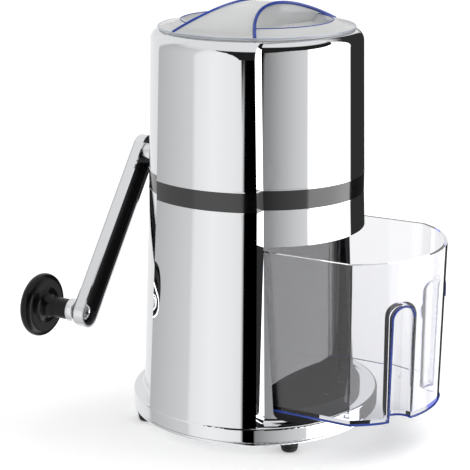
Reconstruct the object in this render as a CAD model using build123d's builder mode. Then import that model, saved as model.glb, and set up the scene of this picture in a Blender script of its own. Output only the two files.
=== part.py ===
from build123d import *
from math import cos, radians, sin, sqrt, tan
import os

os.makedirs("parts", exist_ok=True)

# Hand-cranked ice crusher. Millimetres. Z = 0 is the table and Z is the body's axis.
# The drawer opens towards -Y, the crank stands at the rear, +Y, and the cheeks face +X and -X.

# ---- driving dimensions ---------------------------------------------------------------------------

# Fits
running_gap = 0.05  # radial gap of a pin or shaft that turns in its bore
fixed_gap = 0.02  # radial gap round a piece that is pressed or screwed in
sliding_gap = 0.6  # between the drawer and the walls of its bay
axial_gap = 0.2  # between faces that turn past each other
seat_gap = 0.1  # under the lid and under the drawer
passing_gap = 0.6  # round a shaft where a wall does not carry it

# Heights, from the table up
foot_height = 6.0
plate_thickness = 2.5
skirt_height = 8.5  # upright edge of the base, up to its ledge
lower_wall_height = 125.2
band_height = 11.2
upper_wall_height = 83.1

# Plan: two cheeks on one circle, with a front and a rear face set back between them
base_radius = 75.0
cheek_step = 0.4  # from the base's edge in to the foot of the cheeks
cheek_radius_mid = 68.0
cheek_radius_top = 66.0
cheek_half_width = 32.5  # at the parting line
cheek_draft = 1.42  # lean of the cheeks' edges towards the middle, degrees
face_offset = 6.5  # centres of the face arcs, in front of the axis and behind it
face_step = 5.6  # from the base's edge in to the foot of the front and rear faces
face_radius_mid = 58.3
face_radius_top = 56.4
wall = 2.5
ledge_blend = 3.0
skirt_round = 1.5
shoulder_inner_radius = 56.5  # where the shoulder's curve meets the flat top
mouth_radius = 51.0

# Front opening and drawer
opening_height = 104.0
opening_corner = 6.0
drawer_half_width = 52.2
drawer_height = 94.5
drawer_front_radius = 59.1
drawer_back = 27.5  # behind the axis when shut
drawer_wall = 2.0
drawer_floor = 2.4
drawer_draft = 1.2  # degrees
drawer_front_corner = 5.0
drawer_back_corner = 8.0
drawer_pulled = 53.0  # how far the drawer stands open
groove_angle = 30.0  # finger grooves each side of the middle of the front, degrees
groove_radius = 7.8
groove_depth = 11.0
groove_height = 68.5  # from the drawer's underside to the top of the groove
pip_radius = 1.5
pip_height = 2.2
pip_inset = 14.0
bay_floor_thickness = 4.2
bay_wall = 1.8
bay_wall_height = 98.0

# Frame between the shells, with the crushing chamber
lip_height = 5.0
lip_thickness = 2.5
deck_thickness = 3.0
chamber_half_width = 30.0
chamber_half_depth = 27.0
chamber_wall = 3.0
chamber_rise = 26.6  # above the parting line
chute_drop = 18.2  # below the band

# Screws that clamp both shells to the frame
column_circle = 63.4
column_angle = 19.0  # from the X axis, degrees
column_radius = 3.5
column_drop = 18.0  # length of the lower shell's columns below the frame
column_rise = 14.0  # length of the upper shell's columns above the frame
long_screw_radius = 1.6
long_screw_bite = 10.0  # into the upper columns
long_screw_head_radius = 2.9
long_screw_head_height = 1.6

# Hopper
hopper_wall = 2.0
hopper_slope_height = 30.0
hopper_slope_reach = 25.0  # how far each sloping wall leans out

# Lid
lid_radius = 57.5
lid_edge = 1.2
lid_rise = 15.0
lid_wall = 2.0
lid_skirt_depth = 8.0
lid_skirt_gap = 0.4
ridge_half_width = 11.0
ridge_side_radius = 92.0
crest_radius = 44.5
crest_rise = 5.0
bowl_radius = 40.0
bowl_rise = 0.8

# Blades
shaft_radius = 4.0
shaft_flat = 3.2  # from the shaft's axis to its flat
shaft_in_arm = 6.0
shaft_overhang = 2.0  # past the clip
blade_count = 5
blade_pitch = 10.0
blade_thickness = 2.0
blade_radius = 22.0
blade_hub_radius = 8.5
blade_teeth = 4
blade_twist = 18.0  # turn of each blade against the one before, degrees
tooth_back = 26.0  # half of the tooth's foot on the hub, degrees
tooth_tip = 9.0  # width of the tooth's tip, degrees
tooth_sink = 1.2  # how far each tooth's foot reaches into the hub
spacer_radius = 6.0
comb_plate = 2.0
comb_half_height = 8.0
comb_tooth_thickness = 2.4
comb_tooth_root = 7.0  # half height of a tooth at the plate
comb_tooth_tip = 2.0  # half height of a tooth at its end
comb_tip_gap = 2.6  # between the teeth and the spacers
comb_screw_spread = 10.0
small_screw_radius = 1.4
small_screw_head_radius = 2.9
small_screw_head_height = 1.4

# Bushes and clip
bush_radius = 5.6
bush_flange_radius = 7.2
bush_flange = 1.3
bush_set_back = 0.6  # keeps flat ends clear of the curved rear wall
clip_radius = 6.4
clip_thickness = 1.0
clip_groove_radius = 3.0
clip_slot = 3.4

# Crank
collar_radius = 7.3
arm_stand_off = 11.8  # from the rear face to the arm
arm_thickness = 8.0
arm_width = 17.2
arm_length = 107.6  # from the shaft to the knob's pin
arm_hub_overhang = 3.4
arm_knob_overhang = 0.2
arm_rim = 1.2
arm_edge_round = 2.4
arm_floor = 1.6
arm_channel_depth = 4.4
insert_set_back = 0.5  # from the arm's rim to the insert's
insert_wall = 1.2
arm_angle = 38.0  # from straight down, towards -X
arm_hub_boss = 7.0
arm_pin_boss = 5.4
arm_line_width = 0.9
arm_line_height = 0.5
arm_line_offset = 3.3
screw_head_radius = 5.0
screw_head_height = 1.4
screw_head_round = 0.9
screw_radius = 2.0
screw_length = 11.0

# Knob
pin_radius = 2.5
pin_head_radius = 4.0
pin_head_height = 1.8
rivet_radius = 4.75
rivet_height = 0.9
rivet_dish_radius = 3.25
rivet_dish_depth = 0.6
washer_radius = 6.0
washer_thickness = 0.8
knob_collar_radius = 7.0
knob_collar_length = 4.8
knob_stem_radius = 6.3
knob_stem_length = 17.0
knob_radius = 19.25
knob_thickness = 8.7
knob_rim_round = 4.2
knob_flare = 4.0
knob_cap_radius = 5.2
knob_cap_thickness = 1.6

# Feet and the screws underneath
foot_inset = 6.0  # from the base's edge to the middle of a foot
foot_top_radius = 5.7
foot_bottom_radius = 4.4
foot_round = 1.4
foot_stem_radius = 3.0
foot_stem_height = 5.0
plate_neck = 0.9
plate_neck_height = 0.5
base_screw_inset = 19.0  # from the base's edge to the middle of a screw
base_boss_radius = 4.0
base_screw_length = 7.0

# ---- derived heights and places -------------------------------------------------------------------

z_skirt = foot_height + plate_thickness
z_ledge = z_skirt + skirt_height
z_band = z_ledge + lower_wall_height
z_parting = z_band + band_height
z_top = z_parting + upper_wall_height
z_axle = z_parting
z_hollow = z_ledge - wall
z_lip_low = z_band - lip_height
z_lip_high = z_parting + lip_height
z_chamber = z_parting + chamber_rise
z_chute = z_band - chute_drop
z_slope = z_chamber + hopper_slope_height
z_bay_floor = z_ledge + bay_floor_thickness
z_drawer = z_bay_floor + seat_gap + pip_height
z_rim = z_drawer + drawer_height
z_lid = z_top + seat_gap
z_lid_skirt = z_top - lid_skirt_depth
z_lid_apex = z_top + lid_rise
cheek_radius_low = base_radius - cheek_step
face_radius_low = base_radius - face_offset - face_step
foot_circle = base_radius - foot_inset
base_screw_circle = base_radius - base_screw_inset
opening_half_width = drawer_half_width + sliding_gap
inner_half_x = chamber_half_width - chamber_wall
inner_half_y = chamber_half_depth - chamber_wall
comb_reach = inner_half_x - comb_plate
comb_tip = spacer_radius + comb_tip_gap
lip_fall = lip_height / upper_wall_height
rear_face = face_offset + face_radius_mid
y_rear_bush = rear_face - wall - lip_thickness - bush_set_back
y_front_flange = -chamber_half_depth - bush_flange
y_clip = y_front_flange - axial_gap
y_arm = rear_face + arm_stand_off
y_arm_outer = y_arm + arm_thickness
y_channel = y_arm + arm_channel_depth
y_arm_floor = y_arm_outer - arm_floor
y_shaft_end = y_arm + shaft_in_arm
y_knob = y_arm_outer + washer_thickness + axial_gap
y_stem = y_knob + knob_collar_length
y_disc = y_stem + knob_stem_length
y_knob_end = y_disc + knob_thickness
y_cap = y_knob_end - knob_cap_thickness
y_pin_head = y_cap - axial_gap - pin_head_height
pivot_x = -arm_length * sin(radians(arm_angle))
pivot_z = z_axle - arm_length * cos(radians(arm_angle))
pocket_width = arm_width - 2 * arm_rim
far = 4 * base_radius  # longer than any cut needs to be

arm_frame = Plane(
    origin=(0, y_arm, z_axle),
    x_dir=(-sin(radians(arm_angle)), 0, -cos(radians(arm_angle))),
    z_dir=(0, 1, 0),
)
low_levels = ((cheek_radius_low, cheek_radius_mid), (face_radius_low, face_radius_mid))
mid_levels = ((cheek_radius_mid, cheek_radius_mid), (face_radius_mid, face_radius_mid))
lip_levels = (
    (cheek_radius_mid, cheek_radius_mid - (cheek_radius_mid - cheek_radius_top) * lip_fall),
    (face_radius_mid, face_radius_mid - (face_radius_mid - face_radius_top) * lip_fall),
)
columns = [
    (sx * column_circle * cos(radians(column_angle)), sy * column_circle * sin(radians(column_angle)))
    for sx in (1, -1)
    for sy in (1, -1)
]
diagonals = [(sx * sqrt(0.5), sy * sqrt(0.5)) for sx in (1, -1) for sy in (1, -1)]
foot_places = [(foot_circle * dx, foot_circle * dy) for dx, dy in diagonals]
base_screw_places = [
    (base_screw_circle * dx, base_screw_circle * dy) for dx, dy in ((1, 0), (-1, 0), (0, 1), (0, -1))
]


# ---- shared forms ---------------------------------------------------------------------------------


def turned(outline, axis_y=0.0, top_round=0.0, blend=0.0):
    """Solid turned about an upright axis from (radius, height) corners.

    top_round rounds the outer top corner and blend fills the inner corner above a flange."""
    with BuildPart() as solid:
        with BuildSketch(Plane.XZ.offset(-axis_y)) as profile:
            with BuildLine():
                Polyline(*outline, close=True)
            make_face()
            if blend:
                fillet(profile.vertices().group_by(Axis.Y)[-2].sort_by(Axis.X)[0], blend)
            if top_round:
                fillet(profile.vertices().group_by(Axis.Y)[-1].sort_by(Axis.X)[-1], top_round)
        revolve(axis=Axis((0, axis_y, 0), (0, 0, 1)))
    return solid.part


def frustum(z_low, z_high, radius_low, radius_high):
    """Corners of a cone's half section."""
    return [(0, z_low), (radius_low, z_low), (radius_high, z_high), (0, z_high)]


def stepped(cheeks, front, rear, inset, z_low, z_high):
    """The body's outline: cheeks kept to a drafted slab, with the front and the rear drum added."""
    half_width = cheek_half_width + (z_parting - z_low) * tan(radians(cheek_draft)) - inset
    with BuildPart() as form:
        add(cheeks)
        with BuildSketch(Plane.XY.offset(z_low)):
            Rectangle(far, 2 * half_width)
        extrude(amount=z_high - z_low, taper=cheek_draft, mode=Mode.INTERSECT)
        add([front, rear])
    return form.part


def body_form(z_low, z_high, levels, inset=0.0):
    """Stepped drum between two heights, with every wall moved inwards by inset."""
    (cheek_low, cheek_high), (face_low, face_high) = levels
    cheeks = turned(frustum(z_low, z_high, cheek_low - inset, cheek_high - inset))
    face = frustum(z_low, z_high, face_low - inset, face_high - inset)
    front = turned(face, -face_offset)
    rear = turned(face, face_offset)
    return stepped(cheeks, front, rear, inset, z_low, z_high)


def upper_form(inset=0.0):
    """The upper drum with its rounded shoulder, with every wall moved inwards by inset."""
    z_high = z_top - inset
    cheek_round = cheek_radius_top - shoulder_inner_radius - inset
    face_round = face_offset + face_radius_top - shoulder_inner_radius - inset
    cheek = frustum(z_parting, z_high, cheek_radius_mid - inset, cheek_radius_top - inset)
    face = frustum(z_parting, z_high, face_radius_mid - inset, face_radius_top - inset)
    front = turned(face, -face_offset, face_round)
    rear = turned(face, face_offset, face_round)
    return stepped(turned(cheek, 0.0, cheek_round), front, rear, inset, z_parting, z_high)


def lower_form():
    """The lower drum, its ledge and the upright edge of the base."""
    flange = base_radius - face_offset - skirt_round
    cheek = [
        (0, z_skirt),
        (base_radius, z_skirt),
        (cheek_radius_low, z_ledge),
        (cheek_radius_mid, z_band),
        (0, z_band),
    ]
    face = [
        (0, z_skirt),
        (flange, z_skirt),
        (flange, z_ledge),
        (face_radius_low, z_ledge),
        (face_radius_mid, z_band),
        (0, z_band),
    ]
    front = turned(face, -face_offset, 0.0, ledge_blend)
    rear = turned(face, face_offset, 0.0, ledge_blend)
    with BuildPart() as form:
        add(stepped(turned(cheek), front, rear, 0.0, z_skirt, z_band))
        add(turned(frustum(z_skirt, z_ledge, base_radius, base_radius), 0.0, skirt_round))
    return form.part


def along_y(radius, y_start, y_end, x=0.0, z=z_axle, bore=0.0):
    """Round bar or tube parallel to the crank shaft."""
    with BuildPart() as bar:
        with BuildSketch(Plane.XZ.offset(-y_start)):
            with Locations((x, z)):
                Circle(radius)
                if bore:
                    Circle(bore, mode=Mode.SUBTRACT)
        extrude(amount=y_start - y_end)
    return bar.part


def along_x(radius, x_start, x_end, y, z):
    """Round bar that lies across the body."""
    with BuildPart() as bar:
        with BuildSketch(Plane.YZ.offset(x_start)):
            with Locations((y, z)):
                Circle(radius)
        extrude(amount=x_end - x_start)
    return bar.part


def upright(radius, z_low, z_high, places, bore=0.0):
    """Round bars or tubes standing at the given (x, y) places."""
    with BuildPart() as bars:
        with BuildSketch(Plane.XY.offset(z_low)):
            with Locations(*places):
                Circle(radius)
                if bore:
                    Circle(bore, mode=Mode.SUBTRACT)
        extrude(amount=z_high - z_low)
    return bars.part


def block(x_low, x_high, y_low, y_high, z_low, z_high):
    """Rectangular block between six planes."""
    with BuildPart() as solid:
        with BuildSketch(Plane.XY.offset(z_low)):
            with Locations(((x_low + x_high) / 2, (y_low + y_high) / 2)):
                Rectangle(x_high - x_low, y_high - y_low)
        extrude(amount=z_high - z_low)
    return solid.part


def spun(outline, rounds=()):
    """Solid turned about the knob's axis from (radius, y) corners; rounds names corners to fillet."""
    with BuildPart() as solid:
        with BuildSketch(Plane(origin=(pivot_x, 0, pivot_z))) as profile:
            with BuildLine():
                Polyline(*outline, close=True)
            make_face()
            for corner, radius in rounds:
                fillet(profile.vertices().sort_by_distance((*corner, 0))[0], radius)
        revolve(axis=Axis((pivot_x, 0, pivot_z), (0, 1, 0)))
    return solid.part


def keyed(y_start, y_end, gap=0.0):
    """The shaft's section, round with one flat, between two places along its length."""
    with BuildPart() as bar:
        with BuildSketch(Plane.XZ.offset(-y_start)):
            with Locations((0, z_axle)):
                Circle(shaft_radius + gap)
            with Locations((0, z_axle + shaft_flat + gap + shaft_radius)):
                Rectangle(4 * shaft_radius, 2 * shaft_radius, mode=Mode.SUBTRACT)
        extrude(amount=y_start - y_end)
    return bar.part


def arm_form(width, depth_start, depth_end, overhang=arm_hub_overhang):
    """Round-ended bar along the crank arm, between two depths from the arm's inner side."""
    span = arm_length + arm_knob_overhang + overhang
    with BuildPart() as bar:
        with BuildSketch(arm_frame.offset(depth_start)):
            with Locations((span / 2 - overhang, 0)):
                SlotCenterToCenter(span, width)
        extrude(amount=depth_end - depth_start)
    return bar.part


def drawer_form(z_low, inset=0.0):
    """Tapered drawer outline from the rim down to z_low, with every wall moved inwards by inset."""
    half_width = drawer_half_width - inset
    radius = drawer_front_radius - inset
    back = drawer_back - inset
    side_end = -face_offset - sqrt(radius**2 - half_width**2)
    with BuildPart() as form:
        with BuildSketch(Plane((0, -drawer_pulled, z_rim))) as plan:
            with BuildLine():
                Line((half_width, side_end), (half_width, back))
                Line((half_width, back), (-half_width, back))
                Line((-half_width, back), (-half_width, side_end))
                ThreePointArc((-half_width, side_end), (0, -face_offset - radius), (half_width, side_end))
            make_face()
            fillet(plan.vertices().group_by(Axis.Y)[0], drawer_front_corner - inset)
            fillet(plan.vertices().group_by(Axis.Y)[-1], drawer_back_corner - inset)
        extrude(amount=z_low - z_rim, taper=drawer_draft)
    return form.part


def groove_form(side, grow=0.0):
    """Finger groove: an upright round bar with a domed top."""
    reach = drawer_front_radius - groove_depth + groove_radius
    x = side * reach * sin(radians(groove_angle))
    y = -face_offset - drawer_pulled - reach * cos(radians(groove_angle))
    z_dome = z_drawer + groove_height - groove_radius
    with BuildPart() as bar:
        with BuildSketch(Plane.XY.offset(z_drawer - pip_height)):
            with Locations((x, y)):
                Circle(groove_radius + grow)
        extrude(amount=z_dome - z_drawer + pip_height)
        with Locations((x, y, z_dome)):
            Sphere(groove_radius + grow)
    return bar.part


def hopper_form(half_x, half_y, radius, reach, z_low, z_high):
    """Funnel solid: four sloping sides below, kept inside a round wall, and round above."""
    with BuildPart() as form:
        with BuildSketch(Plane.XY.offset(z_low)):
            Rectangle(2 * half_x, 2 * half_y)
        with BuildSketch(Plane.XY.offset(z_slope)):
            Rectangle(2 * (half_x + reach), 2 * (half_y + reach + half_x - half_y))
        loft(ruled=True)
        add(upright(radius, z_low, z_slope, [(0, 0)]), mode=Mode.INTERSECT)
        add(upright(radius, z_slope, z_high, [(0, 0)]))
    return form.part


def ridge_form(z_low, inset=0.0):
    """The lid's handle above z_low: a dome kept between two hollow curved sides."""
    rise = lid_rise - lid_edge
    ball = (lid_radius**2 + rise**2) / (2 * rise)
    side = ridge_side_radius + inset
    with BuildPart() as form:
        with Locations((0, 0, z_lid_apex - ball)):
            Sphere(ball - inset)
        add(upright(lid_radius - inset, z_low, z_lid_apex, [(0, 0)]), mode=Mode.INTERSECT)
        places = [(0, s * (ridge_half_width + ridge_side_radius)) for s in (1, -1)]
        add(upright(side, z_low, z_lid_apex, places), mode=Mode.SUBTRACT)
    return form.part


def blade(index):
    """Toothed plate of the rotor."""
    y_low = (index - (blade_count - 1) / 2) * blade_pitch - blade_thickness / 2
    tooth = [
        (r * cos(radians(a)), r * sin(radians(a)))
        for r, a in (
            (blade_hub_radius - tooth_sink, -tooth_back),
            (blade_radius, 0),
            (blade_radius, tooth_tip),
            (blade_hub_radius - tooth_sink, 2 * tooth_back),
        )
    ]
    with BuildPart() as plate:
        with BuildSketch(Plane.XZ.offset(-y_low)):
            with Locations((0, z_axle)):
                Circle(blade_hub_radius)
                with PolarLocations(0, blade_teeth, start_angle=blade_twist * index):
                    Polygon(*tooth, align=None)
        extrude(amount=-blade_thickness)
        add(keyed(y_low, y_low + blade_thickness, fixed_gap), mode=Mode.SUBTRACT)
    return plate.part


def comb(side):
    """Fixed comb on one side wall of the chamber, with a tooth between each two blades."""
    places = [(i - (blade_count - 2) / 2) * blade_pitch for i in range(blade_count - 1)]
    x_low, x_high = sorted((side * comb_reach, side * inner_half_x))
    half_length = inner_half_y - seat_gap
    with BuildPart() as solid:
        z_low = z_axle - comb_half_height
        add(block(x_low, x_high, -half_length, half_length, z_low, z_axle + comb_half_height))
        for y in places:
            with BuildSketch(Plane.XZ.offset(-y)):
                with BuildLine():
                    Polyline(
                        (side * comb_reach, z_axle + comb_tooth_root),
                        (side * comb_tip, z_axle + comb_tooth_tip),
                        (side * comb_tip, z_axle - comb_tooth_tip),
                        (side * comb_reach, z_axle - comb_tooth_root),
                        close=True,
                    )
                make_face()
            extrude(amount=comb_tooth_thickness / 2, both=True)
        for y in (-comb_screw_spread, comb_screw_spread):
            add(along_x(small_screw_radius + fixed_gap, x_low, x_high, y, z_axle), mode=Mode.SUBTRACT)
    return solid.part


# ---- shells, frame and base -----------------------------------------------------------------------

with BuildPart() as lower_shell:
    add(lower_form())
    add(body_form(z_ledge, z_band, low_levels, wall), mode=Mode.SUBTRACT)
    add(upright(base_radius - wall, z_skirt, z_hollow, [(0, 0)]), mode=Mode.SUBTRACT)
    add(upright(base_boss_radius, z_skirt, z_hollow, base_screw_places))
    add(upright(small_screw_radius, z_skirt, z_hollow + wall / 2, base_screw_places), mode=Mode.SUBTRACT)
    add(upright(column_radius, z_band - column_drop, z_lip_low, columns))
    add(upright(long_screw_radius + fixed_gap, z_band - column_drop, z_lip_low, columns), mode=Mode.SUBTRACT)
    # the front opening, rounded at its lower corners
    with BuildSketch(Plane.XZ.offset(cheek_half_width - 2 * wall)) as opening:
        with Locations((0, z_ledge + opening_height / 2)):
            Rectangle(2 * opening_half_width, opening_height)
        fillet(opening.vertices().group_by(Axis.Y)[0], opening_corner)
    extrude(amount=base_radius, mode=Mode.SUBTRACT)
lower_shell.part.label = "lower_shell"
export_step(lower_shell.part, "parts/lower_shell.step")

with BuildPart() as inner_space:
    # the room between the lips' heights: inside the two shells, and out to the band's own face
    add(body_form(z_lip_low, z_band, mid_levels, wall + fixed_gap))
    add(body_form(z_band, z_parting, mid_levels))
    add(body_form(z_parting, z_lip_high, lip_levels, wall + fixed_gap))

with BuildPart() as chassis_band:
    # the band seen outside, its lips, the deck and the screw columns
    lip_inset = wall + lip_thickness
    add(inner_space.part)
    add(body_form(z_lip_low, z_band, mid_levels, lip_inset), mode=Mode.SUBTRACT)
    add(body_form(z_band + deck_thickness, z_lip_high, mid_levels, lip_inset), mode=Mode.SUBTRACT)
    add(upright(column_radius, z_lip_low, z_lip_high, columns))
    add(inner_space.part, mode=Mode.INTERSECT)
    # the chamber, open above and below
    half_x = chamber_half_width
    half_y = chamber_half_depth
    add(block(-half_x, half_x, -half_y, half_y, z_chute, z_chamber))
    inside = block(-inner_half_x, inner_half_x, -inner_half_y, inner_half_y, z_chute, z_chamber)
    add(inside, mode=Mode.SUBTRACT)
    # seats of the two bushes, the free hole between them and the holes for the screws
    add(along_y(bush_radius + fixed_gap, y_rear_bush, rear_face + wall), mode=Mode.SUBTRACT)
    add(along_y(bush_radius + fixed_gap, -chamber_half_depth, -inner_half_y), mode=Mode.SUBTRACT)
    add(along_y(shaft_radius + passing_gap, inner_half_y, chamber_half_depth), mode=Mode.SUBTRACT)
    add(upright(long_screw_radius + fixed_gap, z_lip_low, z_lip_high, columns), mode=Mode.SUBTRACT)
    for y in (-comb_screw_spread, comb_screw_spread):
        bore = along_x(small_screw_radius + fixed_gap, -chamber_half_width, chamber_half_width, y, z_axle)
        add(bore, mode=Mode.SUBTRACT)
chassis_band.part.label = "chassis_band"
export_step(chassis_band.part, "parts/chassis_band.step")

with BuildPart() as upper_shell:
    add(upper_form())
    add(upper_form(wall), mode=Mode.SUBTRACT)
    add(upright(mouth_radius, z_top - wall, z_top, [(0, 0)]), mode=Mode.SUBTRACT)
    add(upright(column_radius, z_lip_high, z_lip_high + column_rise, columns))
    bite = z_lip_high + long_screw_bite
    add(upright(long_screw_radius + fixed_gap, z_lip_high, bite, columns), mode=Mode.SUBTRACT)
    add(along_y(bush_radius + fixed_gap, y_rear_bush, rear_face + wall), mode=Mode.SUBTRACT)
upper_shell.part.label = "upper_shell"
export_step(upper_shell.part, "parts/upper_shell.step")

with BuildPart() as base_plate:
    with BuildSketch(Plane.XY.offset(foot_height)):
        Circle(base_radius)
    extrude(amount=plate_thickness - plate_neck_height)
    fillet(base_plate.edges(), plate_neck)
    with BuildSketch(Plane.XY.offset(foot_height + plate_thickness - plate_neck_height)):
        Circle(base_radius - plate_neck)
    extrude(amount=plate_neck_height)
    add(upright(foot_stem_radius + fixed_gap, foot_height, z_skirt, foot_places), mode=Mode.SUBTRACT)
    add(upright(small_screw_radius + fixed_gap, foot_height, z_skirt, base_screw_places), mode=Mode.SUBTRACT)
base_plate.part.label = "base_plate"
export_step(base_plate.part, "parts/base_plate.step")

with BuildPart() as rubber_feet:
    with BuildSketch(Plane.XZ) as foot:
        with BuildLine():
            Polyline(
                (0, 0),
                (foot_bottom_radius, 0),
                (foot_top_radius, foot_height),
                (foot_stem_radius, foot_height),
                (foot_stem_radius, foot_height + foot_stem_height),
                (0, foot_height + foot_stem_height),
                close=True,
            )
        make_face()
        fillet(foot.vertices().group_by(Axis.Y)[0].sort_by(Axis.X)[-1], foot_round)
    one_foot = revolve(axis=Axis.Z, mode=Mode.PRIVATE)
    with Locations(*foot_places):
        add(one_foot)
rubber_feet.part.label = "rubber_feet"
export_step(rubber_feet.part, "parts/rubber_feet.step")

with BuildPart() as base_screws:
    head_top = foot_height
    add(upright(small_screw_head_radius, head_top - small_screw_head_height, head_top, base_screw_places))
    add(upright(small_screw_radius, head_top, head_top + base_screw_length, base_screw_places))
base_screws.part.label = "base_screws"
export_step(base_screws.part, "parts/base_screws.step")

with BuildPart() as shell_screws:
    z_head = z_band - column_drop
    add(upright(long_screw_head_radius, z_head - long_screw_head_height, z_head, columns))
    add(upright(long_screw_radius, z_head, z_lip_high + long_screw_bite, columns))
shell_screws.part.label = "shell_screws"
export_step(shell_screws.part, "parts/shell_screws.step")

with BuildPart() as drawer_bay:
    bay_width = opening_half_width + bay_wall
    bay_front = cheek_half_width - wall - seat_gap
    bay_back = drawer_back + sliding_gap + bay_wall
    add(body_form(z_ledge, z_ledge + bay_wall_height, low_levels, wall + seat_gap + bay_wall))
    add(block(-far, far, -far, far, z_bay_floor, z_band), mode=Mode.SUBTRACT)
    add(block(-bay_width, bay_width, -bay_front, bay_back, z_ledge, z_ledge + bay_wall_height))
    add(
        block(-opening_half_width, opening_half_width, -far, bay_back - bay_wall, z_bay_floor, z_band),
        mode=Mode.SUBTRACT,
    )
drawer_bay.part.label = "drawer_bay"
export_step(drawer_bay.part, "parts/drawer_bay.step")

# ---- drawer ---------------------------------------------------------------------------------------

with BuildPart() as drawer_cavity:
    add(drawer_form(z_drawer + drawer_floor, drawer_wall))
    for side in (-1, 1):
        add(groove_form(side, drawer_wall), mode=Mode.SUBTRACT)

with BuildPart() as drawer:
    add(drawer_form(z_drawer))
    add(drawer_cavity.part, mode=Mode.SUBTRACT)
    for side in (-1, 1):
        add(groove_form(side), mode=Mode.SUBTRACT)
    pips = [
        (sx * (drawer_half_width - pip_inset), sy * (drawer_back - pip_inset) - drawer_pulled)
        for sx in (1, -1)
        for sy in (1, -2)
    ]
    add(upright(pip_radius, z_drawer - pip_height, z_drawer, pips))
drawer.part.label = "drawer"
export_step(drawer.part, "parts/drawer.step")

# ---- hopper and lid -------------------------------------------------------------------------------

with BuildPart() as hopper:
    z_rim_top = z_top - wall
    outer = mouth_radius + hopper_wall
    add(hopper_form(chamber_half_width, chamber_half_depth, outer, hopper_slope_reach, z_chamber, z_rim_top))
    inner = hopper_form(inner_half_x, inner_half_y, mouth_radius, hopper_slope_reach, z_chamber, z_rim_top)
    add(inner, mode=Mode.SUBTRACT)
hopper.part.label = "hopper"
export_step(hopper.part, "parts/hopper.step")

skirt = mouth_radius - lid_skirt_gap

with BuildPart() as ridge_hollow:
    add(ridge_form(z_lid_skirt, lid_wall))
    add(upright(skirt - lid_wall, z_lid_skirt, z_lid_apex, [(0, 0)]), mode=Mode.INTERSECT)

with BuildPart() as lid:
    rise = z_lid + lid_edge
    with BuildSketch(Plane.XZ) as lid_outside:
        with BuildLine():
            Polyline(
                (0, z_lid_skirt),
                (skirt, z_lid_skirt),
                (skirt, z_lid),
                (lid_radius, z_lid),
                (lid_radius, rise),
                (crest_radius, z_top + crest_rise),
                (bowl_radius, z_top + bowl_rise),
                (0, z_top + bowl_rise),
                close=True,
            )
        make_face()
    revolve(axis=Axis.Z)
    add(ridge_form(z_lid))
    with BuildSketch(Plane.XZ) as lid_inside:
        with BuildLine():
            Polyline(
                (0, z_lid_skirt),
                (skirt - lid_wall, z_lid_skirt),
                (skirt - lid_wall, z_lid),
                (crest_radius, z_top + crest_rise - lid_wall),
                (bowl_radius, z_top + bowl_rise - lid_wall),
                (0, z_top + bowl_rise - lid_wall),
                close=True,
            )
        make_face()
    revolve(axis=Axis.Z, mode=Mode.SUBTRACT)
    add(ridge_hollow.part, mode=Mode.SUBTRACT)
lid.part.label = "lid"
export_step(lid.part, "parts/lid.step")

# ---- shaft, blades and bushes ---------------------------------------------------------------------

y_shaft_start = y_clip - clip_thickness - shaft_overhang

with BuildPart() as crank_shaft:
    add(keyed(y_shaft_start, y_shaft_end))
    groove = along_y(2 * shaft_radius, y_clip - clip_thickness, y_clip, bore=clip_groove_radius - fixed_gap)
    add(groove, mode=Mode.SUBTRACT)
    add(along_y(screw_radius + fixed_gap, y_arm_outer - screw_length, y_shaft_end), mode=Mode.SUBTRACT)
crank_shaft.part.label = "crank_shaft"
export_step(crank_shaft.part, "parts/crank_shaft.step")

with BuildPart() as retaining_clip:
    add(along_y(clip_radius, y_clip - clip_thickness, y_clip, bore=clip_groove_radius))
    slot_low = z_axle - 2 * clip_radius
    slot = block(-clip_slot / 2, clip_slot / 2, y_clip - clip_thickness, y_clip, slot_low, z_axle)
    add(slot, mode=Mode.SUBTRACT)
retaining_clip.part.label = "retaining_clip"
export_step(retaining_clip.part, "parts/retaining_clip.step")

with BuildPart() as front_bush:
    bore = shaft_radius + running_gap
    add(along_y(bush_flange_radius, y_front_flange, -chamber_half_depth, bore=bore))
    add(along_y(bush_radius, -chamber_half_depth, -inner_half_y, bore=bore))
front_bush.part.label = "front_bush"
export_step(front_bush.part, "parts/front_bush.step")

with BuildPart() as rear_bush:
    add(along_y(bush_flange_radius, y_rear_bush - bush_flange, y_rear_bush, bore=bore))
    add(along_y(bush_radius, y_rear_bush, rear_face - bush_set_back, bore=bore))
rear_bush.part.label = "rear_bush"
export_step(rear_bush.part, "parts/rear_bush.step")

with BuildPart() as rotor_blade_1:
    add(blade(0))
rotor_blade_1.part.label = "rotor_blade_1"
export_step(rotor_blade_1.part, "parts/rotor_blade_1.step")

with BuildPart() as rotor_blade_2:
    add(blade(1))
rotor_blade_2.part.label = "rotor_blade_2"
export_step(rotor_blade_2.part, "parts/rotor_blade_2.step")

with BuildPart() as rotor_blade_3:
    add(blade(2))
rotor_blade_3.part.label = "rotor_blade_3"
export_step(rotor_blade_3.part, "parts/rotor_blade_3.step")

with BuildPart() as rotor_blade_4:
    add(blade(3))
rotor_blade_4.part.label = "rotor_blade_4"
export_step(rotor_blade_4.part, "parts/rotor_blade_4.step")

with BuildPart() as rotor_blade_5:
    add(blade(4))
rotor_blade_5.part.label = "rotor_blade_5"
export_step(rotor_blade_5.part, "parts/rotor_blade_5.step")

with BuildPart() as blade_spacers:
    stack = blade_pitch * (blade_count - 1) / 2
    edges = [-inner_half_y + axial_gap]
    for index in range(blade_count):
        middle = index * blade_pitch - stack
        edges += [middle - blade_thickness / 2, middle + blade_thickness / 2]
    edges.append(inner_half_y - axial_gap)
    for start, end in zip(edges[::2], edges[1::2]):
        add(along_y(spacer_radius, start, end))
        add(keyed(start, end, fixed_gap), mode=Mode.SUBTRACT)
blade_spacers.part.label = "blade_spacers"
export_step(blade_spacers.part, "parts/blade_spacers.step")

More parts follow.
